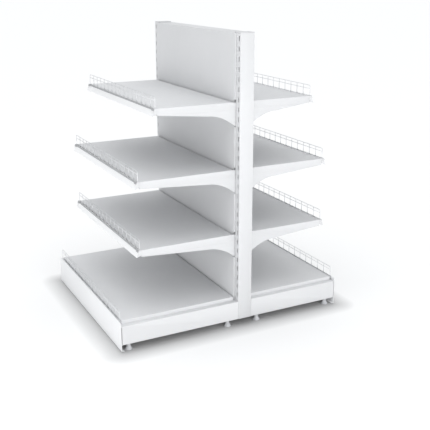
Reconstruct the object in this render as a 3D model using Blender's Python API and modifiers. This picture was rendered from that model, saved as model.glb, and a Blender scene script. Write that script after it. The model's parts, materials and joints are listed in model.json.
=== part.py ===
"""Double-sided gondola shelving: one bay of an island run, with shelves hooked to slotted uprights.

Metres, +Z up. X runs along the bay, with the near upright at +X. The left side faces -Y and
the right side faces +Y. The origin is on the floor, at the centre of the bay's footprint.
"""

from math import pi

import bmesh
import bpy
from mathutils import Vector

# Bay
BAY_LENGTH = 1.000
FIT = 0.0003

# Uprights: rectangular tubes with two rows of slots in each of the faces that carry shelves
UPRIGHT_WIDTH = 0.060
UPRIGHT_DEPTH = 0.080
UPRIGHT_WALL = 0.002
UPRIGHT_CORNER = 0.004
UPRIGHT_TOP = 1.552
GROUND_CLEARANCE = 0.040
SLOT_PITCH = 0.050
SLOT_HEIGHT = 0.024
SLOT_WIDTH = 0.006
OUTER_SLOT_WIDTH = 0.0068
SLOT_FIRST = 0.076
SLOT_ROW = 0.015
SLOT_TOP_MARGIN = 0.015
CAP_THICKNESS = 0.004
CAP_PLUG_DEPTH = 0.012
CAP_PLUG_SLACK = 0.001

# Back panels, which lap over the uprights' inner slots, and the rails between the uprights
PANEL_THICKNESS = 0.007
PANEL_LAP = 0.0185
PANEL_NOTCH_RISE = 0.012
TIE_BOTTOM = 0.145
TIE_HEIGHT = 0.040
RAIL_SHEET = 0.0015
TOP_RAIL_DEPTH = 0.030

# Shelves: folded sheet trays, open below
SHEET = 0.0012
SHELF_FLANGE = 0.035
SHELF_REAR_GAP = 0.016
SHELF_OVER_SLOT = 0.034
SHELF_SLOTS = {"lower": 8, "middle": 15, "upper": 22}
NOTCH_LENGTH = 0.0025
NOTCH_SLACK = 0.001
STIFFENER_WIDTH = 0.050
STIFFENER_HEIGHT = 0.014
STIFFENER_END_GAP = 0.045

# Brackets: flat plates with a sloping underside, a curved haunch and two hooks
BRACKET_THICKNESS = 0.003
BRACKET_SETBACK = 0.012
BRACKET_FRONT_HEIGHT = 0.036
BRACKET_HAUNCH_TOP = 0.060
HAUNCH_LENGTH = 0.160
HAUNCH_DROP = 0.065
HAUNCH_STEPS = 8
BRACKET_HOOKS = 2
HOOK_TONGUE = 0.014
HOOK_LIP_DROP = 0.008
HOOK_LIP_THICKNESS = 0.005

# Price rails: a groove for the fence, and a leaning face for labels
RAIL_WALL = 0.0018
GROOVE_WIDTH = 0.0095
GROOVE_DEPTH = 0.010
RAIL_LIP = 0.001
RAIL_DROP = 0.036
RAIL_LEAN = 0.013
RAIL_BACK = 0.026
BASE_RAIL_BACK = 0.018

# Wire fences
WIRE = 0.0035
FENCE_HEIGHT = 0.057
FENCE_SECOND_WIRE = 0.040
FENCE_PITCH = 0.060
FENCE_END_INSET = 0.004

# Base legs and their levelling feet
LEG_WIDTH = 0.056
LEG_HEIGHT = 0.100
LEG_WALL = 0.002
LEG_REAR_PLATE = 0.003
LEG_FRONT_SEAM = 0.003
BASE_FLANGE = 0.020
BASE_END_GAP = 0.001
FOOT_RADIUS = 0.019
FOOT_RIM = 0.005
FOOT_COLLAR_RADIUS = 0.010
FOOT_COLLAR_HEIGHT = 0.010
FOOT_STEM_RADIUS = 0.005
FOOT_STEM_ABOVE_COLLAR = 0.030
FOOT_SIDES = 12
FOOT_FROM_REAR = 0.050
FOOT_FROM_FRONT = 0.045

# Kick plates
KICK_SHEET = 0.0015
KICK_FLOOR_GAP = 0.004
KICK_TOP_DROP = 0.003
KICK_RETURN = 0.015

# Shelf depths, measured outwards from the upright's face
DEPTHS = {
    "left": {"upper": 0.430, "middle": 0.530, "lower": 0.530, "base": 0.650},
    "right": {"upper": 0.360, "middle": 0.455, "lower": 0.455, "base": 0.535},
}

# Sizes that follow from the ones above
UPRIGHT_FACE = UPRIGHT_DEPTH / 2
UPRIGHT_X = BAY_LENGTH / 2
INNER_HALF_LENGTH = UPRIGHT_X - UPRIGHT_WIDTH / 2
BRACKET_X = UPRIGHT_X - SLOT_ROW
SHELF_HALF_LENGTH = BRACKET_X + BRACKET_THICKNESS / 2 + FIT + SHEET
BASE_HALF_LENGTH = UPRIGHT_X - BASE_END_GAP
LEG_TOP = GROUND_CLEARANCE + LEG_HEIGHT
BASE_TOP = LEG_TOP + FIT + BASE_FLANGE
GROOVE_BACK = FIT + RAIL_WALL
GROOVE_FRONT = GROOVE_BACK + GROOVE_WIDTH
BASE_RAIL_FRONT = GROOVE_FRONT + RAIL_WALL
KICK_REACH = BASE_RAIL_FRONT + FIT + KICK_SHEET
UPRIGHT_Y = (DEPTHS["left"]["base"] - DEPTHS["right"]["base"]) / 2
SLOT_COUNT = int((UPRIGHT_TOP - SLOT_TOP_MARGIN - SLOT_FIRST) / SLOT_PITCH) + 1

# Outlines drawn in X and Y are stood up across the bay or along it
ACROSS_BAY = (pi / 2, 0, -pi / 2)
ALONG_BAY = (pi / 2, 0, 0)
ENDS = {"near": 1, "far": -1}
SIDES = {"left": 0.0, "right": pi}

for old in list(bpy.data.objects):
    bpy.data.objects.remove(old, do_unlink=True)

parts = bpy.data.collections.new("gondola_shelving")
cutters = bpy.data.collections.new("cutters")
bpy.context.scene.collection.children.link(parts)
bpy.context.scene.collection.children.link(cutters)


def finish(name, colour, roughness, metallic):
    """A Principled material of one part."""
    material = bpy.data.materials.new(name)
    material.use_nodes = True
    shader = material.node_tree.nodes["Principled BSDF"]
    shader.inputs["Base Color"].default_value = (*colour, 1)
    shader.inputs["Roughness"].default_value = roughness
    shader.inputs["Metallic"].default_value = metallic
    return material


def white_paint(name):
    return finish(name, (0.70, 0.706, 0.718), 0.45, 0.0)


def white_plastic(name):
    return finish(name, (0.74, 0.745, 0.755), 0.35, 0.0)


def grey_plastic(name):
    return finish(name, (0.55, 0.555, 0.57), 0.5, 0.0)


def plated_wire(name):
    return finish(name, (0.72, 0.73, 0.75), 0.25, 1.0)


def place(item, parent, location=(0, 0, 0), rotation=(0, 0, 0)):
    item.parent = parent
    item.location = location
    item.rotation_euler = rotation
    return item


def add_part(name, data, material, parent, location=(0, 0, 0), rotation=(0, 0, 0)):
    """A named object of the parts collection, placed under its parent."""
    item = bpy.data.objects.new(name, data)
    data.materials.append(material(name))
    parts.objects.link(item)
    return place(item, parent, location, rotation)


def box_shape(shape, low, high):
    """Adds a box between two corners to a bmesh and gives back its new vertices."""
    middle = (Vector(low) + Vector(high)) / 2
    size = Vector(high) - Vector(low)
    made = bmesh.ops.create_cube(shape, size=1)
    bmesh.ops.scale(shape, vec=size, verts=made["verts"])
    bmesh.ops.translate(shape, vec=middle, verts=made["verts"])
    return made["verts"]


def boxes(name, corners):
    """One mesh of separate boxes, each given by its two corners."""
    shape = bmesh.new()
    for low, high in corners:
        box_shape(shape, low, high)
    mesh = bpy.data.meshes.new(name)
    shape.to_mesh(mesh)
    shape.free()
    return mesh


def open_box(name, low, high, openings):
    """A box without the faces that look along the given directions."""
    shape = bmesh.new()
    box_shape(shape, low, high)
    shape.normal_update()
    away = [face for face in shape.faces if any(face.normal.dot(way) > 0.9 for way in openings)]
    bmesh.ops.delete(shape, geom=away, context="FACES_ONLY")
    mesh = bpy.data.meshes.new(name)
    shape.to_mesh(mesh)
    shape.free()
    return mesh


def fold_inwards(item, thickness):
    """Gives an open box its wall, inside the faces that it has."""
    wall = item.modifiers.new("wall", "SOLIDIFY")
    wall.thickness = thickness
    wall.offset = -1
    wall.use_even_offset = True


def cut(item, name, mesh, operation="DIFFERENCE", wall=0.0):
    """Cuts a mesh, given in the part's own frame, from the part, or joins it on."""
    tool = bpy.data.objects.new(name, mesh)
    cutters.objects.link(tool)
    if wall:
        fold_inwards(tool, wall)
    tool.hide_render = True
    tool.display_type = "WIRE"
    place(tool, item)
    boolean = item.modifiers.new(name, "BOOLEAN")
    boolean.operation = operation
    boolean.solver = "EXACT"
    boolean.object = tool


def outline(name, loops, thickness):
    """A flat curve of closed loops, the first outside and the rest holes, with a thickness."""
    curve = bpy.data.curves.new(name, "CURVE")
    curve.dimensions = "2D"
    curve.fill_mode = "BOTH"
    curve.extrude = thickness / 2
    for loop in loops:
        spline = curve.splines.new("POLY")
        spline.points.add(len(loop) - 1)
        for point, (across, up) in zip(spline.points, loop):
            point.co = (across, up, 0, 1)
        spline.use_cyclic_u = True
    return curve


def outline_mesh(name, loops, thickness, location, rotation):
    """The same as a closed mesh, moved to its place, for joining to another part."""
    item = bpy.data.objects.new(name, outline(name, loops, thickness))
    cutters.objects.link(item)
    bpy.context.view_layer.update()
    evaluated = item.evaluated_get(bpy.context.evaluated_depsgraph_get())
    mesh = bpy.data.meshes.new_from_object(evaluated)
    place(item, None, location, rotation)
    shape = bmesh.new()
    shape.from_mesh(mesh)
    bmesh.ops.remove_doubles(shape, verts=shape.verts, dist=1e-6)
    bmesh.ops.transform(shape, matrix=item.matrix_basis, verts=shape.verts)
    shape.to_mesh(mesh)
    shape.free()
    bpy.data.objects.remove(item, do_unlink=True)
    return mesh


def empty(name, parent, location=(0, 0, 0), turn=0.0):
    item = bpy.data.objects.new(name, None)
    bpy.context.scene.collection.objects.link(item)
    return place(item, parent, location, (0, 0, turn))


def slot_height(index):
    """The height of a slot's middle."""
    return SLOT_FIRST + SLOT_PITCH * index


def shelf_top(level):
    return slot_height(SHELF_SLOTS[level]) + SHELF_OVER_SLOT


def depth_line(outwards):
    """The Y of a place on a side, from its distance to the upright's face."""
    return -(UPRIGHT_FACE + outwards)


def hook(slot_middle, root):
    """A hook's outline from below: its tongue rests in the slot, and its lip drops behind the wall."""
    rest = slot_middle - SLOT_HEIGHT / 2 + FIT
    behind = -(UPRIGHT_WALL + FIT)
    tip = behind - HOOK_LIP_THICKNESS
    return [
        (root, rest),
        (behind, rest),
        (behind, rest - HOOK_LIP_DROP),
        (tip, rest - HOOK_LIP_DROP),
        (tip, rest + HOOK_TONGUE),
        (root, rest + HOOK_TONGUE),
    ]


def upright(end, sign, parent):
    """A slotted tube, open at both ends."""
    half_width = UPRIGHT_WIDTH / 2
    tube = open_box(
        f"upright_{end}",
        (-half_width, -UPRIGHT_FACE, GROUND_CLEARANCE),
        (half_width, UPRIGHT_FACE, UPRIGHT_TOP),
        [Vector((0, 0, 1)), Vector((0, 0, -1))],
    )
    item = add_part(tube.name, tube, white_paint, parent, (sign * UPRIGHT_X, 0, 0))
    corners = item.modifiers.new("corners", "BEVEL")
    corners.width = UPRIGHT_CORNER
    corners.segments = 2
    fold_inwards(item, UPRIGHT_WALL)
    slots = []
    for row, width in ((-sign * SLOT_ROW, SLOT_WIDTH), (sign * SLOT_ROW, OUTER_SLOT_WIDTH)):
        for index in range(SLOT_COUNT):
            middle = slot_height(index)
            low = (row - width / 2, -UPRIGHT_DEPTH, middle - SLOT_HEIGHT / 2)
            high = (row + width / 2, UPRIGHT_DEPTH, middle + SLOT_HEIGHT / 2)
            slots.append((low, high))
    cut(item, f"slots_{end}", boxes(f"slots_{end}", slots))


def upright_cap(end, sign, parent):
    """A cap with a plug that fits the tube."""
    half_width = UPRIGHT_WIDTH / 2
    plate = boxes(
        f"upright_cap_{end}",
        [((-half_width, -UPRIGHT_FACE, FIT), (half_width, UPRIGHT_FACE, FIT + CAP_THICKNESS))],
    )
    item = add_part(plate.name, plate, grey_plastic, parent, (sign * UPRIGHT_X, 0, UPRIGHT_TOP))
    inset = UPRIGHT_WALL + CAP_PLUG_SLACK
    plug_width = half_width - inset
    plug_depth = UPRIGHT_FACE - inset
    low = (-plug_width, -plug_depth, -CAP_PLUG_DEPTH)
    high = (plug_width, plug_depth, FIT + CAP_THICKNESS / 2)
    cut(item, f"plug_{end}", boxes(f"plug_{end}", [(low, high)]), "UNION")


def tie_rail(parent):
    """The lower rail between the uprights, a channel open below that the panels lean on."""
    reach = INNER_HALF_LENGTH - FIT
    channel = open_box(
        "lower_tie_rail",
        (-reach, -UPRIGHT_FACE, TIE_BOTTOM),
        (reach, UPRIGHT_FACE, TIE_BOTTOM + TIE_HEIGHT),
        [Vector((0, 0, -1))],
    )
    fold_inwards(add_part(channel.name, channel, white_paint, parent), RAIL_SHEET)


def top_rail(parent):
    """The rail between the uprights' tops, a channel open below."""
    reach = INNER_HALF_LENGTH - FIT
    channel = open_box(
        "top_rail",
        (-reach, -UPRIGHT_FACE, UPRIGHT_TOP - TOP_RAIL_DEPTH),
        (reach, UPRIGHT_FACE, UPRIGHT_TOP),
        [Vector((0, 0, -1)), Vector((1, 0, 0)), Vector((-1, 0, 0))],
    )
    fold_inwards(add_part(channel.name, channel, white_paint, parent), RAIL_SHEET)


def bracket_notches(half_length, front, back, low, high):
    """Boxes that clear the two brackets of a shelf, out past the ends of a sheet."""
    inner = BRACKET_X - BRACKET_THICKNESS / 2 - NOTCH_SLACK
    corners = []
    for sign in ENDS.values():
        xs = sorted((sign * inner, sign * (half_length + NOTCH_SLACK)))
        corners.append(((xs[0], front, low), (xs[1], back, high)))
    return corners


def back_panels(side, parent):
    """Two folded panels on the legs, one on the other, notched where the brackets hook in."""
    seam = shelf_top("middle") - SHELF_FLANGE / 2
    reach = INNER_HALF_LENGTH + PANEL_LAP
    back = depth_line(FIT)
    face = back - PANEL_THICKNESS
    notches = []
    for level in SHELF_SLOTS:
        low = shelf_top(level) - BRACKET_HAUNCH_TOP - HAUNCH_DROP - NOTCH_SLACK
        high = shelf_top(level) + PANEL_NOTCH_RISE
        notches += bracket_notches(reach, face - NOTCH_SLACK, back + NOTCH_SLACK, low, high)
    for place_name, low, high in (("lower", LEG_TOP + FIT, seam - FIT), ("upper", seam, UPRIGHT_TOP)):
        name = f"{side}_{place_name}_panel"
        board = open_box(name, (-reach, face, low), (reach, back, high), [Vector((0, 1, 0))])
        item = add_part(name, board, white_paint, parent)
        fold_inwards(item, SHEET)
        cut(item, f"notches_{name}", boxes(f"notches_{name}", notches))


def stiffen(item, half_length, depth):
    """Welds a channel under a tray's sheet, halfway back and open at its ends."""
    name = f"stiffener_{item.name}"
    reach = half_length - STIFFENER_END_GAP
    middle = depth_line((depth + SHELF_REAR_GAP) / 2)
    seat = -SHEET / 2
    channel = open_box(
        name,
        (-reach, middle - STIFFENER_WIDTH / 2, seat - STIFFENER_HEIGHT),
        (reach, middle + STIFFENER_WIDTH / 2, seat),
        [Vector((0, 0, 1)), Vector((1, 0, 0)), Vector((-1, 0, 0))],
    )
    cut(item, name, channel, "UNION", SHEET)


def shelf(side, level, parent):
    """A tray with folded edges, notched at its rear corners for the brackets."""
    name = f"{side}_{level}_shelf"
    depth = DEPTHS[side][level]
    rear = depth_line(SHELF_REAR_GAP)
    tray = open_box(
        name,
        (-SHELF_HALF_LENGTH, depth_line(depth), -SHELF_FLANGE),
        (SHELF_HALF_LENGTH, rear, 0),
        [Vector((0, 0, -1))],
    )
    item = add_part(name, tray, white_paint, parent, (0, 0, shelf_top(level)))
    fold_inwards(item, SHEET)
    notches = bracket_notches(
        SHELF_HALF_LENGTH,
        rear - NOTCH_LENGTH,
        rear + NOTCH_SLACK,
        -SHELF_FLANGE - NOTCH_SLACK,
        NOTCH_SLACK,
    )
    cut(item, f"notches_{name}", boxes(f"notches_{name}", notches))
    stiffen(item, SHELF_HALF_LENGTH, depth)


def bracket_outline(length):
    """The plate seen from its end of the bay: outwards from the upright's face, up from the shelf's top."""
    top = -(SHEET + FIT)
    points = [(FIT, top), (length, top), (length, -BRACKET_FRONT_HEIGHT)]
    for step in range(HAUNCH_STEPS + 1):
        inwards = step / HAUNCH_STEPS
        outwards = FIT + HAUNCH_LENGTH * (1 - inwards)
        points.append((outwards, -BRACKET_HAUNCH_TOP - HAUNCH_DROP * inwards**2))
    for index in reversed(range(BRACKET_HOOKS)):
        points += hook(-SHELF_OVER_SLOT - SLOT_PITCH * index, FIT)
    return points


def brackets(side, level, parent, turned):
    length = DEPTHS[side][level] - BRACKET_SETBACK
    for end, sign in ENDS.items():
        name = f"{side}_{level}_bracket_{end}"
        plate = outline(name, [bracket_outline(length)], BRACKET_THICKNESS)
        spot = (turned * sign * BRACKET_X, depth_line(0), shelf_top(level))
        add_part(name, plate, white_paint, parent, spot, ACROSS_BAY)


def price_rail_outline():
    """Outwards from the shelf's front face, up from the shelf's top."""
    lean_top = GROOVE_FRONT + RAIL_WALL
    toe = lean_top + RAIL_LEAN
    under = -GROOVE_DEPTH - RAIL_WALL
    lean_at_under = lean_top + RAIL_LEAN * (RAIL_LIP - under) / (RAIL_LIP + RAIL_DROP)
    return [
        (FIT, -RAIL_BACK),
        (FIT, 0),
        (GROOVE_BACK, 0),
        (GROOVE_BACK, -GROOVE_DEPTH),
        (GROOVE_FRONT, -GROOVE_DEPTH),
        (GROOVE_FRONT, RAIL_LIP),
        (lean_top, RAIL_LIP),
        (toe, -RAIL_DROP),
        (toe - RAIL_WALL, -RAIL_DROP),
        (lean_at_under - RAIL_WALL, under),
        (GROOVE_BACK, under),
        (GROOVE_BACK, -RAIL_BACK),
    ]


def base_rail_outline():
    """The plain groove along a base shelf's front."""
    under = -GROOVE_DEPTH - RAIL_WALL
    return [
        (FIT, -BASE_RAIL_BACK),
        (FIT, 0),
        (GROOVE_BACK, 0),
        (GROOVE_BACK, -GROOVE_DEPTH),
        (GROOVE_FRONT, -GROOVE_DEPTH),
        (GROOVE_FRONT, 0),
        (BASE_RAIL_FRONT, 0),
        (BASE_RAIL_FRONT, under),
        (GROOVE_BACK, under),
        (GROOVE_BACK, -BASE_RAIL_BACK),
    ]


def front_rail(name, points, half_length, depth, top, parent, material):
    """A rail of constant section along a shelf's front edge."""
    spot = (0, depth_line(depth), top)
    add_part(name, outline(name, [points], 2 * half_length), material, parent, spot, ACROSS_BAY)


def fence(name, half_length, depth, top, parent):
    """A lattice of wires that stands in a front rail's groove."""
    reach = half_length - FENCE_END_INSET
    spaces = round((2 * reach - WIRE) / FENCE_PITCH)
    pitch = (2 * reach - WIRE) / spaces
    foot = -GROOVE_DEPTH + FIT
    loops = [[(-reach, foot), (reach, foot), (reach, FENCE_HEIGHT), (-reach, FENCE_HEIGHT)]]
    bands = [
        (foot + WIRE, FENCE_SECOND_WIRE - WIRE),
        (FENCE_SECOND_WIRE, FENCE_HEIGHT - WIRE),
    ]
    for index in range(spaces):
        start = -reach + WIRE + index * pitch
        stop = start + pitch - WIRE
        for low, high in bands:
            loops.append([(start, low), (start, high), (stop, high), (stop, low)])
    middle = depth + (GROOVE_BACK + GROOVE_FRONT) / 2
    spot = (0, depth_line(middle), top)
    add_part(name, outline(name, loops, WIRE), plated_wire, parent, spot, ALONG_BAY)


def leg_length(side):
    """A leg runs from the upright's face to the kick plate."""
    return DEPTHS[side]["base"] + BASE_RAIL_FRONT


def foot_places(side):
    """Each foot's distance from the upright's face."""
    return {"rear": FOOT_FROM_REAR, "front": leg_length(side) - FOOT_FROM_FRONT}


def leg(side, end, sign, parent):
    """A box leg, open at the front with its sides set back, with hooks and a hole for each foot."""
    name = f"{side}_leg_{end}"
    half_width = LEG_WIDTH / 2
    front = depth_line(leg_length(side))
    beam = boxes(
        name,
        [((-half_width, front, GROUND_CLEARANCE), (half_width, depth_line(FIT), LEG_TOP))],
    )
    item = add_part(name, beam, white_paint, parent, (sign * UPRIGHT_X, 0, 0))
    inner = half_width - LEG_WALL
    low = (-inner, front - LEG_WALL, GROUND_CLEARANCE + LEG_WALL)
    high = (inner, depth_line(LEG_REAR_PLATE), LEG_TOP - LEG_WALL)
    cut(item, f"inside_{name}", boxes(f"inside_{name}", [(low, high)]))
    low = (-LEG_WIDTH, front - LEG_WALL, GROUND_CLEARANCE + 2 * LEG_WALL)
    high = (LEG_WIDTH, front + LEG_FRONT_SEAM, LEG_TOP - 2 * LEG_WALL)
    cut(item, f"seam_{name}", boxes(f"seam_{name}", [(low, high)]))
    holes = bmesh.new()
    for outwards in foot_places(side).values():
        made = bmesh.ops.create_cone(
            holes,
            cap_ends=True,
            segments=FOOT_SIDES,
            radius1=FOOT_STEM_RADIUS + FIT,
            radius2=FOOT_STEM_RADIUS + FIT,
            depth=4 * LEG_WALL,
        )
        spot = (0, depth_line(outwards), GROUND_CLEARANCE + LEG_WALL / 2)
        bmesh.ops.translate(holes, vec=spot, verts=made["verts"])
    mesh = bpy.data.meshes.new(f"foot_holes_{name}")
    holes.to_mesh(mesh)
    holes.free()
    cut(item, mesh.name, mesh)
    for number, row in enumerate((-SLOT_ROW, SLOT_ROW)):
        plate = outline_mesh(
            f"hook_{number}_{name}",
            [hook(slot_height(0), LEG_REAR_PLATE - FIT)],
            BRACKET_THICKNESS,
            (row, depth_line(0), 0),
            ACROSS_BAY,
        )
        cut(item, plate.name, plate, "UNION")


def levelling_foot(name, spot, parent):
    """A turned foot: pad, taper, collar under the leg and a stem up into it."""
    collar_top = GROUND_CLEARANCE - FIT
    stem_top = collar_top + FOOT_STEM_ABOVE_COLLAR
    collar_bottom = collar_top - FOOT_COLLAR_HEIGHT
    profile = [
        (0, stem_top),
        (FOOT_STEM_RADIUS, stem_top),
        (FOOT_STEM_RADIUS, collar_top),
        (FOOT_COLLAR_RADIUS, collar_top),
        (FOOT_COLLAR_RADIUS, collar_bottom),
        (FOOT_RADIUS, FOOT_RIM),
        (FOOT_RADIUS, 0),
        (0, 0),
    ]
    mesh = bpy.data.meshes.new(name)
    edges = [(index, index + 1) for index in range(len(profile) - 1)]
    mesh.from_pydata([(radius, 0, height) for radius, height in profile], edges, [])
    item = add_part(name, mesh, grey_plastic, parent, spot)
    turned = item.modifiers.new("turned", "SCREW")
    turned.steps = FOOT_SIDES
    turned.render_steps = FOOT_SIDES
    turned.use_merge_vertices = True
    turned.merge_threshold = 0.00005


def base_shelf(side, parent):
    """The deep tray that rests on the legs."""
    name = f"{side}_base_shelf"
    tray = open_box(
        name,
        (-BASE_HALF_LENGTH, depth_line(DEPTHS[side]["base"]), -BASE_FLANGE),
        (BASE_HALF_LENGTH, depth_line(SHELF_REAR_GAP), 0),
        [Vector((0, 0, -1))],
    )
    item = add_part(name, tray, white_paint, parent, (0, 0, BASE_TOP))
    fold_inwards(item, SHEET)
    stiffen(item, BASE_HALF_LENGTH, DEPTHS[side]["base"])


def kick_plate(side, parent):
    """The plinth in front of the legs, turned in along its bottom edge."""
    name = f"{side}_kick_plate"
    back = BASE_RAIL_FRONT + FIT
    top = BASE_TOP - KICK_TOP_DROP
    bottom = KICK_FLOOR_GAP
    points = [
        (back, top),
        (KICK_REACH, top),
        (KICK_REACH, bottom),
        (KICK_REACH - KICK_RETURN, bottom),
        (KICK_REACH - KICK_RETURN, bottom + KICK_SHEET),
        (back, bottom + KICK_SHEET),
    ]
    half_length = UPRIGHT_X + LEG_WIDTH / 2
    front_rail(name, points, half_length, DEPTHS[side]["base"], 0, parent, white_paint)


def base(side, parent, turned):
    """Everything below and on the base shelf of one side."""
    for end, sign in ENDS.items():
        leg(side, end, turned * sign, parent)
        for row, outwards in foot_places(side).items():
            spot = (turned * sign * UPRIGHT_X, depth_line(outwards), 0)
            levelling_foot(f"{side}_{end}_foot_{row}", spot, parent)
    depth = DEPTHS[side]["base"]
    base_shelf(side, parent)
    front_rail(
        f"{side}_base_rail",
        base_rail_outline(),
        BASE_HALF_LENGTH,
        depth,
        BASE_TOP,
        parent,
        white_paint,
    )
    fence(f"{side}_base_fence", BASE_HALF_LENGTH, depth, BASE_TOP, parent)
    kick_plate(side, parent)


def shelf_unit(side, level, parent, turned):
    """A shelf with its brackets, price rail and fence."""
    depth = DEPTHS[side][level]
    top = shelf_top(level)
    brackets(side, level, parent, turned)
    shelf(side, level, parent)
    name = f"{side}_{level}_price_rail"
    front_rail(name, price_rail_outline(), SHELF_HALF_LENGTH, depth, top, parent, white_plastic)
    fence(f"{side}_{level}_fence", SHELF_HALF_LENGTH, depth, top, parent)


bay = empty("bay", None, (0, UPRIGHT_Y, 0))
for end_name, end_sign in ENDS.items():
    upright(end_name, end_sign, bay)
    upright_cap(end_name, end_sign, bay)
tie_rail(bay)
top_rail(bay)
for side_name, side_turn in SIDES.items():
    side_frame = empty(f"{side_name}_side", bay, turn=side_turn)
    end_turn = 1 if side_turn == 0 else -1
    back_panels(side_name, side_frame)
    base(side_name, side_frame, end_turn)
    for level_name in SHELF_SLOTS:
        shelf_unit(side_name, level_name, side_frame, end_turn)
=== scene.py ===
import json
from math import cos, pi, radians, sin, tau

import bmesh
import bpy
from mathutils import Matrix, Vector


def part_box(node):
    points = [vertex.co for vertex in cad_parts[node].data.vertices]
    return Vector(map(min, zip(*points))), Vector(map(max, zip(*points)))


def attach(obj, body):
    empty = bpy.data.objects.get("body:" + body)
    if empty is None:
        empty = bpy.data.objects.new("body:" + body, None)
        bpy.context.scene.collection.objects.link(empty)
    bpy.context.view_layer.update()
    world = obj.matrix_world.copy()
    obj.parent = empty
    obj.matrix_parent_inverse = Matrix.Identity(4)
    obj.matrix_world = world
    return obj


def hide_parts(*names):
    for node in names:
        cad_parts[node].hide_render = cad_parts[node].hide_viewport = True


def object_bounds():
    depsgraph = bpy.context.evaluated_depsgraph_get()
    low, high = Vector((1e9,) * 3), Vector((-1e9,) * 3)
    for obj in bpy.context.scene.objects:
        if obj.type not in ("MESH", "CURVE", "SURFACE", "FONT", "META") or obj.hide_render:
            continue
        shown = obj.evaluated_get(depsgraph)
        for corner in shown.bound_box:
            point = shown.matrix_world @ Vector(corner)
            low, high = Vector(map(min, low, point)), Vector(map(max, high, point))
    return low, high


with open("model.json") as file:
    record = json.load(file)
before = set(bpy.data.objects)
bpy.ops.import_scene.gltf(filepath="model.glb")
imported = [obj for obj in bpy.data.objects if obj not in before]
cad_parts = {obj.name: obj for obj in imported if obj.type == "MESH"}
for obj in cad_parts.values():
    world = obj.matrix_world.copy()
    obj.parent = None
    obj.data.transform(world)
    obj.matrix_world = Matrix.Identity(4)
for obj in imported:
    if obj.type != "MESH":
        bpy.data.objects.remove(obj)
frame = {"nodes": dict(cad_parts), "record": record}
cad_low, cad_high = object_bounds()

# Lengths below are in metres and angles in degrees, unless a name says otherwise

# The two sides with the way each faces along y, and the words that the nodes' names are made of
SIDES = {"left": -1, "right": 1}
ENDS = ("near", "far")
LEVELS = ("lower", "middle", "upper")
FOOT_ROWS = ("rear", "front")

# Edges of the CAD nodes: how far each kind is rounded, which is less than half its thickness
EDGE_ROUNDING = {"upright_cap": 0.0010, "rail": 0.0005, "bracket": 0.0007}
OTHER_ROUNDING = 0.0004
ROUNDING_SEGMENTS = 2
SHARP_ANGLE = 35.0
FLAT_ANGLE = 0.5
WELD_DISTANCE = 0.00001

# Wire fences
WIRE_RADIUS = 0.0014
WIRE_SIDES = 10
WELD_OFFSET = 0.0011
FENCE_PITCH = 0.060
SECOND_WIRE_DROP = 0.017
FENCE_TOP_BEND = 0.010
FENCE_FOOT_BEND = 0.004
BEND_STEPS = 6

# Section of the price rails, as the solids have it: walls, groove, lip above the shelf, and back
RAIL_WALL = 0.0018
RAIL_GROOVE = 0.0095
RAIL_LIP = 0.001
RAIL_BACK = 0.026

# Price rails: a dark strip of painted shade along the front lip's top for the shade in the groove, a
# larger piece of painted shade at each end of it, and caps on the ends
SHADE_LINE_HEIGHT = 0.0085
SHADE_LINE_THICKNESS = 0.0012
SHADE_END_LENGTH = 0.026
SHADE_END_HEIGHT = 0.012
SHADE_END_THICKNESS = 0.0024
STRIP_ROUNDING = 0.0004
TRIM_GAP = 0.0001
CAP_THICKNESS = 0.0012
CAP_ROUNDING = 0.0003

# Levelling feet: the pad's rim as (inset, height) points, its neck and the hexagon as (radius, height)
PAD_RIM = (
    (0.0012, 0.0),
    (0.0003, 0.0004),
    (0.0, 0.0014),
    (0.0, 0.0040),
    (0.0004, 0.0050),
    (0.0014, 0.0056),
)
PAD_NECK = ((0.0150, 0.0085), (0.0112, 0.0180), (0.0100, 0.0260), (0.0100, 0.0296))
PAD_SIDES = 48
HEXAGON = ((0.0088, 0.0297), (0.0098, 0.0305), (0.0098, 0.0389), (0.0088, 0.0397))
HEXAGON_SIDES = 6

# The threaded stem of a levelling foot, which starts just above the hexagon
THREAD_START = 0.0398
THREAD_RADIUS = 0.0050
THREAD_PITCH = 0.0018
THREAD_DEPTH = 0.0007
THREAD_SIDES = 24
THREAD_ROWS_A_TURN = 6

# Camera, fitted to the photograph
IMAGE_PIXELS = 430
FOCAL_PIXELS = 757.8
CAMERA_PLACE = (3.7928, -1.8139, 1.8203)
CAMERA_YAW = 27.39
CAMERA_PITCH = 15.73
CAMERA_SHIFT = -0.06
SENSOR_WIDTH_MM = 36.0

# Floor: its size, how far below the feet it lies, the tone of its painted shadow along the base's
# outline and its plain tone away from it, and how far the painted shadow reaches
FLOOR_SIZE = 600
FLOOR_DROP = 0.0002
FLOOR_SHADOW = 0.50
FLOOR_FAR = 0.90
FLOOR_SHADOW_REACH = 0.12

# The studio's dome: its tint, and its brightness at the horizon and overhead
SKY_TINT = (0.98, 0.99, 1.0)
SKY_HORIZON = 0.17
SKY_ZENITH = 1.62

# The backdrop that the camera sees in the dome's place: its brightness at the horizon and higher
# up, and the sine of the angle where the change ends
BACKDROP_LOW = 1.0
BACKDROP_HIGH = 0.80
BACKDROP_RISE = 0.30

# Sockets of a Mix node, which share their names and so go by number
MIX_FACTOR = 0
MIX_NUMBERS = (2, 3)
MIX_COLOURS = (6, 7)
MIXED_NUMBER = 0
MIXED_COLOUR = 2


def material(name, roughness, metallic=0.0, specular=0.5):
    """A new material, its node tree and its Principled shader."""
    made = bpy.data.materials.new(name)
    made.use_nodes = True
    tree = made.node_tree
    shader = tree.nodes["Principled BSDF"]
    shader.inputs["Roughness"].default_value = roughness
    shader.inputs["Metallic"].default_value = metallic
    shader.inputs["Specular IOR Level"].default_value = specular
    return made, tree, shader


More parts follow.
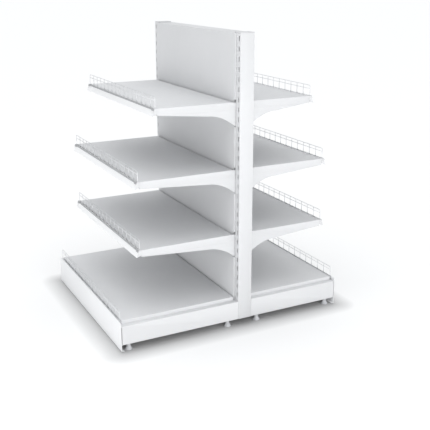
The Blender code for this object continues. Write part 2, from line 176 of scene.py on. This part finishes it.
def object_coordinates(tree, stretch=(1, 1, 1)):
    """Each piece's own coordinates, in metres, so that a pattern moves with the piece."""
    place = tree.nodes.new("ShaderNodeTexCoord")
    mapping = tree.nodes.new("ShaderNodeMapping")
    mapping.inputs["Scale"].default_value = stretch
    tree.links.new(place.outputs["Object"], mapping.inputs["Vector"])
    return mapping.outputs["Vector"]


def noise(tree, coordinates, scale, detail=2.0):
    """A cloudy value from about 0.3 to 0.7."""
    node = tree.nodes.new("ShaderNodeTexNoise")
    node.inputs["Scale"].default_value = scale
    node.inputs["Detail"].default_value = detail
    tree.links.new(coordinates, node.inputs["Vector"])
    return node.outputs["Fac"]


def span(tree, value, low, high, start=0.3, stop=0.7):
    """Turns the values from start to stop, by default those of a noise, into low to high."""
    node = tree.nodes.new("ShaderNodeMapRange")
    node.inputs["From Min"].default_value = start
    node.inputs["From Max"].default_value = stop
    node.inputs["To Min"].default_value = low
    node.inputs["To Max"].default_value = high
    tree.links.new(value, node.inputs["Value"])
    return node.outputs["Result"]


def blend_colours(tree, factor, *colours):
    """The first colour where the factor is 0, the second where it is 1."""
    node = tree.nodes.new("ShaderNodeMix")
    node.data_type = "RGBA"
    tree.links.new(factor, node.inputs[MIX_FACTOR])
    for socket, colour in zip(MIX_COLOURS, colours):
        node.inputs[socket].default_value = (*colour, 1)
    return node.outputs[MIXED_COLOUR]


def blend_numbers(tree, factor, *numbers):
    """The first number where the factor is 0, the second where it is 1."""
    node = tree.nodes.new("ShaderNodeMix")
    tree.links.new(factor, node.inputs[MIX_FACTOR])
    for socket, number in zip(MIX_NUMBERS, numbers):
        tree.links.new(number, node.inputs[socket])
    return node.outputs[MIXED_NUMBER]


def bump(tree, height, strength, distance):
    """A normal that follows a height."""
    node = tree.nodes.new("ShaderNodeBump")
    node.inputs["Strength"].default_value = strength
    node.inputs["Distance"].default_value = distance
    tree.links.new(height, node.inputs["Height"])
    return node.outputs["Normal"]


def powder_coat(name, thin, thick):
    """Satin white paint: a faint orange peel, and a coat that is thicker here than there."""
    made, tree, shader = material(name, roughness=0.55, specular=0.3)
    place = object_coordinates(tree)
    cloud = span(tree, noise(tree, place, scale=2.2, detail=3.0), low=0.0, high=1.0)
    tree.links.new(blend_colours(tree, cloud, thin, thick), shader.inputs["Base Color"])
    satin = span(tree, noise(tree, place, scale=35.0), low=0.50, high=0.62)
    tree.links.new(satin, shader.inputs["Roughness"])
    peel = bump(tree, noise(tree, place, scale=900.0, detail=1.0), strength=0.10, distance=0.0004)
    tree.links.new(peel, shader.inputs["Normal"])
    return made


def extruded_plastic(name, dark, pale):
    """Extruded plastic, with faint draw lines along its length."""
    made, tree, shader = material(name, roughness=0.32)
    lengthwise = object_coordinates(tree, stretch=(0.6, 900.0, 900.0))
    lines = noise(tree, lengthwise, scale=1.0)
    streaks = span(tree, lines, low=0.0, high=1.0)
    tree.links.new(blend_colours(tree, streaks, dark, pale), shader.inputs["Base Color"])
    tree.links.new(span(tree, lines, low=0.28, high=0.38), shader.inputs["Roughness"])
    tree.links.new(bump(tree, lines, strength=0.08, distance=0.0002), shader.inputs["Normal"])
    return made


def moulded_plastic(name, dark, pale):
    """Moulded plastic with a fine spark-eroded grain."""
    made, tree, shader = material(name, roughness=0.55)
    place = object_coordinates(tree)
    cloud = span(tree, noise(tree, place, scale=60.0), low=0.0, high=1.0)
    tree.links.new(blend_colours(tree, cloud, dark, pale), shader.inputs["Base Color"])
    matt = span(tree, noise(tree, place, scale=150.0), low=0.48, high=0.62)
    tree.links.new(matt, shader.inputs["Roughness"])
    grain = bump(tree, noise(tree, place, scale=1800.0, detail=1.0), strength=0.15, distance=0.0003)
    tree.links.new(grain, shader.inputs["Normal"])
    return made


def plating(name, dull, bright):
    """Satin zinc plate on drawn wire, with cloudy patches."""
    made, tree, shader = material(name, roughness=0.3, metallic=1.0)
    place = object_coordinates(tree)
    cloud = span(tree, noise(tree, place, scale=90.0, detail=3.0), low=0.0, high=1.0)
    tree.links.new(blend_colours(tree, cloud, dull, bright), shader.inputs["Base Color"])
    satin = span(tree, noise(tree, place, scale=240.0), low=0.42, high=0.56)
    tree.links.new(satin, shader.inputs["Roughness"])
    return made


SLOT_MATERIALS = {
    "white_paint": powder_coat(
        "white_paint", thin=(0.645, 0.651, 0.662), thick=(0.675, 0.680, 0.690)
    ),
    "white_plastic": extruded_plastic(
        "white_plastic", dark=(0.80, 0.805, 0.815), pale=(0.83, 0.835, 0.84)
    ),
    "grey_plastic": moulded_plastic(
        "grey_plastic", dark=(0.54, 0.55, 0.57), pale=(0.60, 0.61, 0.63)
    ),
    "plated_wire": plating(
        "plated_wire", dull=(0.69, 0.70, 0.715), bright=(0.79, 0.795, 0.805)
    ),
}
# A brighter copy of the white paint for the kick plates: painted light, standing in for the light on
# their front faces
KICK_PAINTED_LIGHT = powder_coat(
    "kick_plate_painted_light", thin=(0.82, 0.825, 0.835), thick=(0.85, 0.855, 0.865)
)
# Dark grey for the strips of painted shade on the price rails, standing in for the shade in their
# grooves
RAIL_SHADE_PAINT = moulded_plastic(
    "rail_painted_shade", dark=(0.33, 0.335, 0.345), pale=(0.38, 0.385, 0.395)
)
PALE_CAPS = moulded_plastic(
    "pale_caps", dark=(0.61, 0.615, 0.625), pale=(0.65, 0.655, 0.665)
)

# The kinds of CAD node that don't get their slot's material: pale caps, and painted light on the kick
# plates
FINISHES_AND_PAINTED_LIGHT = {"kick_plate": KICK_PAINTED_LIGHT, "upright_cap": PALE_CAPS}


def smooth_group():
    """A node group that shades its mesh smooth, for use under a bevel."""
    group = bpy.data.node_groups.new("shade_smooth", "GeometryNodeTree")
    for direction in ("INPUT", "OUTPUT"):
        group.interface.new_socket("Geometry", in_out=direction, socket_type="NodeSocketGeometry")
    start = group.nodes.new("NodeGroupInput")
    shade = group.nodes.new("GeometryNodeSetShadeSmooth")
    stop = group.nodes.new("NodeGroupOutput")
    group.links.new(start.outputs["Geometry"], shade.inputs["Geometry"])
    group.links.new(shade.outputs["Geometry"], stop.inputs["Geometry"])
    return group


SHADE_SMOOTH = smooth_group()


def soften(item, width):
    """Rounds the sharp edges of a CAD node without touching its mesh."""
    weld = item.modifiers.new("weld", "WELD")
    weld.merge_threshold = WELD_DISTANCE
    flat = item.modifiers.new("flat", "DECIMATE")
    flat.decimate_type = "DISSOLVE"
    flat.angle_limit = radians(FLAT_ANGLE)
    shade = item.modifiers.new("smooth", "NODES")
    shade.node_group = SHADE_SMOOTH
    edge = item.modifiers.new("edges", "BEVEL")
    edge.width = width
    edge.segments = ROUNDING_SEGMENTS
    edge.limit_method = "ANGLE"
    edge.angle_limit = radians(SHARP_ANGLE)
    edge.use_clamp_overlap = False
    edge.harden_normals = True


def by_kind(table, name, otherwise):
    """The table's entry for the first kind whose word is in a node's name."""
    for kind, entry in table.items():
        if kind in name:
            return entry
    return otherwise


def dress_cad_nodes():
    """Gives each CAD node its material and rounds its edges."""
    for entry in frame["record"]["subparts"]:
        item = frame["nodes"][entry["node"]]
        plain = SLOT_MATERIALS[entry["material_slot"]]
        item.data.materials.clear()
        item.data.materials.append(by_kind(FINISHES_AND_PAINTED_LIGHT, item.name, plain))
        soften(item, by_kind(EDGE_ROUNDING, item.name, OTHER_ROUNDING))


def new_piece(name, maker, finish):
    """A mesh object made from a filled bmesh, with its material."""
    mesh = bpy.data.meshes.new(name)
    maker.normal_update()
    maker.to_mesh(mesh)
    maker.free()
    item = bpy.data.objects.new(name, mesh)
    bpy.context.scene.collection.objects.link(item)
    mesh.materials.append(finish)
    return item


def wire(maker, path, closed=False):
    """A round wire along a path, its ends closed unless the path is a loop."""
    count = len(path)
    tangents = []
    for index in range(count):
        before = path[index - 1] if closed or index else path[index]
        after = path[(index + 1) % count] if closed or index + 1 < count else path[index]
        tangents.append((after - before).normalized())
    across = tangents[0].orthogonal().normalized()
    rings = []
    for index, (point, tangent) in enumerate(zip(path, tangents)):
        if index:
            across = tangents[index - 1].rotation_difference(tangent) @ across
        upward = tangent.cross(across)
        ring = []
        for side in range(WIRE_SIDES):
            turn = tau * side / WIRE_SIDES
            spoke = (across * cos(turn) + upward * sin(turn)) * WIRE_RADIUS
            ring.append(maker.verts.new(point + spoke))
        rings.append(ring)
    pairs = list(zip(rings, rings[1:]))
    if closed:
        pairs.append((rings[-1], rings[0]))
    for first, second in pairs:
        for side in range(WIRE_SIDES):
            after = (side + 1) % WIRE_SIDES
            face = maker.faces.new((first[side], first[after], second[after], second[side]))
            face.smooth = True
    if not closed:
        maker.faces.new(reversed(rings[0]))
        maker.faces.new(rings[-1])


def bend(centre_x, centre_z, radius, start, y):
    """A quarter turn in the fence's own plane, from the angle start, in radians."""
    points = []
    for step in range(BEND_STEPS + 1):
        turn = start + pi / 2 * step / BEND_STEPS
        points.append(Vector((centre_x + radius * cos(turn), y, centre_z + radius * sin(turn))))
    return points


def wire_fence(side, node):
    """A welded fence: a bent outer loop, a second long wire, and upright wires behind them."""
    low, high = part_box(node)
    outward = SIDES[side]
    middle = (low.y + high.y) / 2
    front = middle + outward * WELD_OFFSET
    back = middle - outward * WELD_OFFSET
    left, right = low.x + WIRE_RADIUS, high.x - WIRE_RADIUS
    foot, top = low.z + WIRE_RADIUS, high.z - WIRE_RADIUS
    corners = (
        (right - FENCE_TOP_BEND, top - FENCE_TOP_BEND, FENCE_TOP_BEND),
        (left + FENCE_TOP_BEND, top - FENCE_TOP_BEND, FENCE_TOP_BEND),
        (left + FENCE_FOOT_BEND, foot + FENCE_FOOT_BEND, FENCE_FOOT_BEND),
        (right - FENCE_FOOT_BEND, foot + FENCE_FOOT_BEND, FENCE_FOOT_BEND),
    )
    maker = bmesh.new()
    loop = []
    for quarter, (x, z, radius) in enumerate(corners):
        loop += bend(x, z, radius, quarter * pi / 2, front)
    wire(maker, loop, closed=True)
    second = high.z - SECOND_WIRE_DROP - WIRE_RADIUS
    wire(maker, [Vector((left, front, second)), Vector((right, front, second))])
    spaces = round((right - left) / FENCE_PITCH)
    for index in range(1, spaces):
        x = left + (right - left) * index / spaces
        wire(maker, [Vector((x, back, foot)), Vector((x, back, top))])
    piece = new_piece(f"{node}_wires", maker, SLOT_MATERIALS["plated_wire"])
    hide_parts(node)
    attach(piece, node)


def extrude(maker, section, left, right):
    """A closed bar along the bay from a section of (y, z) points."""
    first = [maker.verts.new((left, y, z)) for y, z in section]
    second = [maker.verts.new((right, y, z)) for y, z in section]
    count = len(section)
    for index in range(count):
        after = (index + 1) % count
        maker.faces.new((first[index], first[after], second[after], second[index]))
    maker.faces.new(reversed(first))
    maker.faces.new(second)


def rail_section(side, node):
    """A price rail's section as (y, z) points: foot and top of its back, its lip and its toe."""
    low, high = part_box(node)
    outward = SIDES[side]
    rear, front = (high.y, low.y) if outward < 0 else (low.y, high.y)
    shelf_top = high.z - RAIL_LIP
    lip = rear + outward * (2 * RAIL_WALL + RAIL_GROOVE)
    points = ((rear, shelf_top - RAIL_BACK), (rear, shelf_top), (lip, high.z), (front, low.z))
    return [Vector(point) for point in points]


def strip_outline(height, thickness):
    """A flat strip with softened outer edges: distances down the lip and out from it."""
    return [
        (0.0, 0.0),
        (0.0, thickness - STRIP_ROUNDING),
        (STRIP_ROUNDING, thickness),
        (height - STRIP_ROUNDING, thickness),
        (height, thickness - STRIP_ROUNDING),
        (height, 0.0),
    ]


def rail_painted_shade(side, node, body):
    """Painted shade on a price rail: a dark strip along its front lip's top for the shade in the
    groove, and a larger dark piece at each end of it.
    """
    low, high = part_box(node)
    lip, toe = rail_section(side, node)[2:]
    down = (toe - lip).normalized()
    out = Vector((-down.y, down.x)) * SIDES[side]
    first, last = low.x + SHADE_END_LENGTH, high.x - SHADE_END_LENGTH
    strips = (
        (SHADE_LINE_HEIGHT, SHADE_LINE_THICKNESS, first, last),
        (SHADE_END_HEIGHT, SHADE_END_THICKNESS, low.x, first - TRIM_GAP),
        (SHADE_END_HEIGHT, SHADE_END_THICKNESS, last + TRIM_GAP, high.x),
    )
    maker = bmesh.new()
    for height, thickness, left, right in strips:
        section = []
        for below, proud in strip_outline(height, thickness):
            section.append(lip + down * below + out * (TRIM_GAP + proud))
        extrude(maker, section, left, right)
    bmesh.ops.recalc_face_normals(maker, faces=maker.faces)
    piece = new_piece(f"{node}_painted_shade", maker, RAIL_SHADE_PAINT)
    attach(piece, body)


def rail_end_caps(side, node, body):
    """A thin pale plate over each end of a price rail."""
    low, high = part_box(node)
    section = rail_section(side, node)
    maker = bmesh.new()
    for left in (low.x - TRIM_GAP - CAP_THICKNESS, high.x + TRIM_GAP):
        extrude(maker, section, left, left + CAP_THICKNESS)
    bmesh.ops.recalc_face_normals(maker, faces=maker.faces)
    bmesh.ops.bevel(
        maker,
        geom=maker.edges[:],
        offset=CAP_ROUNDING,
        segments=ROUNDING_SEGMENTS,
        profile=0.5,
        affect="EDGES",
    )
    piece = new_piece(f"{node}_end_caps", maker, PALE_CAPS)
    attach(piece, body)


def lathe(maker, profile, sides, centre):
    """A turned solid from (radius, height) points, closed flat at its foot and top."""
    foot, top = profile[0][1], profile[-1][1]
    rings = []
    for radius, height in ((0, foot), *profile, (0, top)):
        if radius == 0:
            rings.append([maker.verts.new(centre + Vector((0, 0, height)))])
            continue
        ring = []
        for side in range(sides):
            turn = tau * side / sides
            spot = Vector((radius * cos(turn), radius * sin(turn), height))
            ring.append(maker.verts.new(centre + spot))
        rings.append(ring)
    for first, second in zip(rings, rings[1:]):
        for side in range(sides):
            after = (side + 1) % sides
            corners = [first[side % len(first)], first[after % len(first)]]
            corners += [second[after % len(second)], second[side % len(second)]]
            face = maker.faces.new(list(dict.fromkeys(corners)))
            face.smooth = True


def foot_thread(maker, centre, top):
    """A stem with a true helical thread."""
    length = top - THREAD_START
    rows = int(length / THREAD_PITCH * THREAD_ROWS_A_TURN)
    rings = []
    for row in range(rows + 1):
        height = THREAD_START + length * row / rows
        ring = []
        for side in range(THREAD_SIDES):
            share = side / THREAD_SIDES
            phase = (height / THREAD_PITCH - share) % 1.0
            reach = THREAD_RADIUS - THREAD_DEPTH * abs(2 * phase - 1)
            spot = Vector((reach * cos(tau * share), reach * sin(tau * share), height))
            ring.append(maker.verts.new(centre + spot))
        rings.append(ring)
    for first, second in zip(rings, rings[1:]):
        for side in range(THREAD_SIDES):
            after = (side + 1) % THREAD_SIDES
            maker.faces.new((first[side], first[after], second[after], second[side]))
    maker.faces.new(reversed(rings[0]))
    maker.faces.new(rings[-1])


def levelling_foot(node):
    """A moulded pad with a soft rim, a hexagon to turn it by and a threaded stem."""
    low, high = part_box(node)
    centre = Vector(((low.x + high.x) / 2, (low.y + high.y) / 2, 0))
    radius = (high.x - low.x) / 2
    rim = [(radius - inset, height) for inset, height in PAD_RIM]
    maker = bmesh.new()
    lathe(maker, (*rim, *PAD_NECK), PAD_SIDES, centre)
    lathe(maker, HEXAGON, HEXAGON_SIDES, centre)
    foot_thread(maker, centre, high.z)
    piece = new_piece(f"{node}_turned", maker, SLOT_MATERIALS["grey_plastic"])
    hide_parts(node)
    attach(piece, node)


def vector_step(tree, operation, vector, operand=None):
    """One step of vector arithmetic, with a plain operand where it has one."""
    node = tree.nodes.new("ShaderNodeVectorMath")
    node.operation = operation
    tree.links.new(vector, node.inputs[0])
    if operand is not None:
        node.inputs[1].default_value = operand
    return node.outputs["Value" if operation == "LENGTH" else "Vector"]


def number_step(tree, operation, *operands):
    """One step of arithmetic, on plain numbers or on other nodes' values."""
    node = tree.nodes.new("ShaderNodeMath")
    node.operation = operation
    for operand, socket in zip(operands, node.inputs):
        if isinstance(operand, float):
            socket.default_value = operand
        else:
            tree.links.new(operand, socket)
    return node.outputs["Value"]


def painted_floor_shadow(tree):
    """Pale, with a painted shadow: a little darker along the outline of the footprint, inside it and
    outside.
    """
    corner = (cad_high.x, cad_high.y, 0.0)
    past = vector_step(tree, "ABSOLUTE", object_coordinates(tree))
    past = vector_step(tree, "SUBTRACT", past, corner)
    outside = vector_step(tree, "LENGTH", vector_step(tree, "MAXIMUM", past, (0.0, 0.0, 0.0)))
    axes = tree.nodes.new("ShaderNodeSeparateXYZ")
    tree.links.new(past, axes.inputs["Vector"])
    nearest = number_step(tree, "MAXIMUM", axes.outputs["X"], axes.outputs["Y"])
    inside = number_step(tree, "MINIMUM", nearest, 0.0)
    distance = number_step(tree, "SUBTRACT", outside, inside)
    # 0 along the outline, where the painted shadow is darkest, and 1 where the painted shadow ends
    clear = span(tree, distance, low=0.0, high=1.0, start=0.0, stop=FLOOR_SHADOW_REACH)
    return blend_colours(tree, clear, (FLOOR_SHADOW,) * 3, (FLOOR_FAR,) * 3)


def studio_floor():
    """A pale floor, plain but for a painted shadow along the base's outline."""
    made, tree, shader = material("floor", roughness=0.9, specular=0.1)
    tree.links.new(painted_floor_shadow(tree), shader.inputs["Base Color"])
    bpy.ops.mesh.primitive_plane_add(size=FLOOR_SIZE, location=(0, 0, -FLOOR_DROP))
    floor = bpy.context.active_object
    floor.name = "floor"
    floor.data.materials.append(made)


def softbox(name, place, target, size, power):
    """A rectangular lamp that faces its target, with its power in watts."""
    lamp = bpy.data.lights.new(name, "AREA")
    lamp.shape = "RECTANGLE"
    lamp.size, lamp.size_y = size
    lamp.energy = power
    item = bpy.data.objects.new(name, lamp)
    item.location = place
    item.rotation_mode = "QUATERNION"
    item.rotation_quaternion = (Vector(target) - Vector(place)).to_track_quat("-Z", "Y")
    bpy.context.scene.collection.objects.link(item)


def studio_light():
    """A dome brighter overhead, a pale backdrop beyond the floor and two softboxes."""
    world = bpy.data.worlds.new("studio")
    world.use_nodes = True
    tree = world.node_tree
    sky = tree.nodes["Background"]
    sky.inputs["Color"].default_value = (*SKY_TINT, 1)
    direction = tree.nodes.new("ShaderNodeTexCoord")
    axes = tree.nodes.new("ShaderNodeSeparateXYZ")
    tree.links.new(direction.outputs["Generated"], axes.inputs["Vector"])
    height = axes.outputs["Z"]
    dome = span(tree, height, SKY_HORIZON, SKY_ZENITH, start=0.0, stop=1.0)
    backdrop = span(tree, height, BACKDROP_LOW, BACKDROP_HIGH, start=0.0, stop=BACKDROP_RISE)
    seen = tree.nodes.new("ShaderNodeLightPath").outputs["Is Camera Ray"]
    tree.links.new(blend_numbers(tree, seen, dome, backdrop), sky.inputs["Strength"])
    bpy.context.scene.world = world
    softbox("end_light", place=(5.0, -0.2, 0.7), target=(0, 0.1, 0.3), size=(3.0, 1.3), power=84)
    softbox("left_light", place=(1.0, -5.0, 1.0), target=(0, -0.4, 0.4), size=(3.0, 1.9), power=45)


def photo_camera():
    """The camera at the photograph's viewing angle."""
    lens = bpy.data.cameras.new("camera")
    lens.sensor_width = SENSOR_WIDTH_MM
    lens.lens = FOCAL_PIXELS / IMAGE_PIXELS * SENSOR_WIDTH_MM
    lens.shift_y = CAMERA_SHIFT
    item = bpy.data.objects.new("camera", lens)
    item.location = CAMERA_PLACE
    yaw, pitch = radians(CAMERA_YAW), radians(CAMERA_PITCH)
    look = Vector((-cos(yaw) * cos(pitch), sin(yaw) * cos(pitch), -sin(pitch)))
    item.rotation_mode = "QUATERNION"
    item.rotation_quaternion = look.to_track_quat("-Z", "Y")
    bpy.context.scene.collection.objects.link(item)
    bpy.context.scene.camera = item


dress_cad_nodes()
for side in SIDES:
    for level in (*LEVELS, "base"):
        wire_fence(side, f"{side}_{level}_fence")
    for level in LEVELS:
        # Painted shade along each price rail's front lip
        rail_painted_shade(side, f"{side}_{level}_price_rail", f"{side}_{level}_shelf")
        rail_end_caps(side, f"{side}_{level}_price_rail", f"{side}_{level}_shelf")
    for end in ENDS:
        for row in FOOT_ROWS:
            levelling_foot(f"{side}_{end}_foot_{row}")
studio_floor()
studio_light()
photo_camera()
bpy.context.scene.view_settings.view_transform = "Standard"
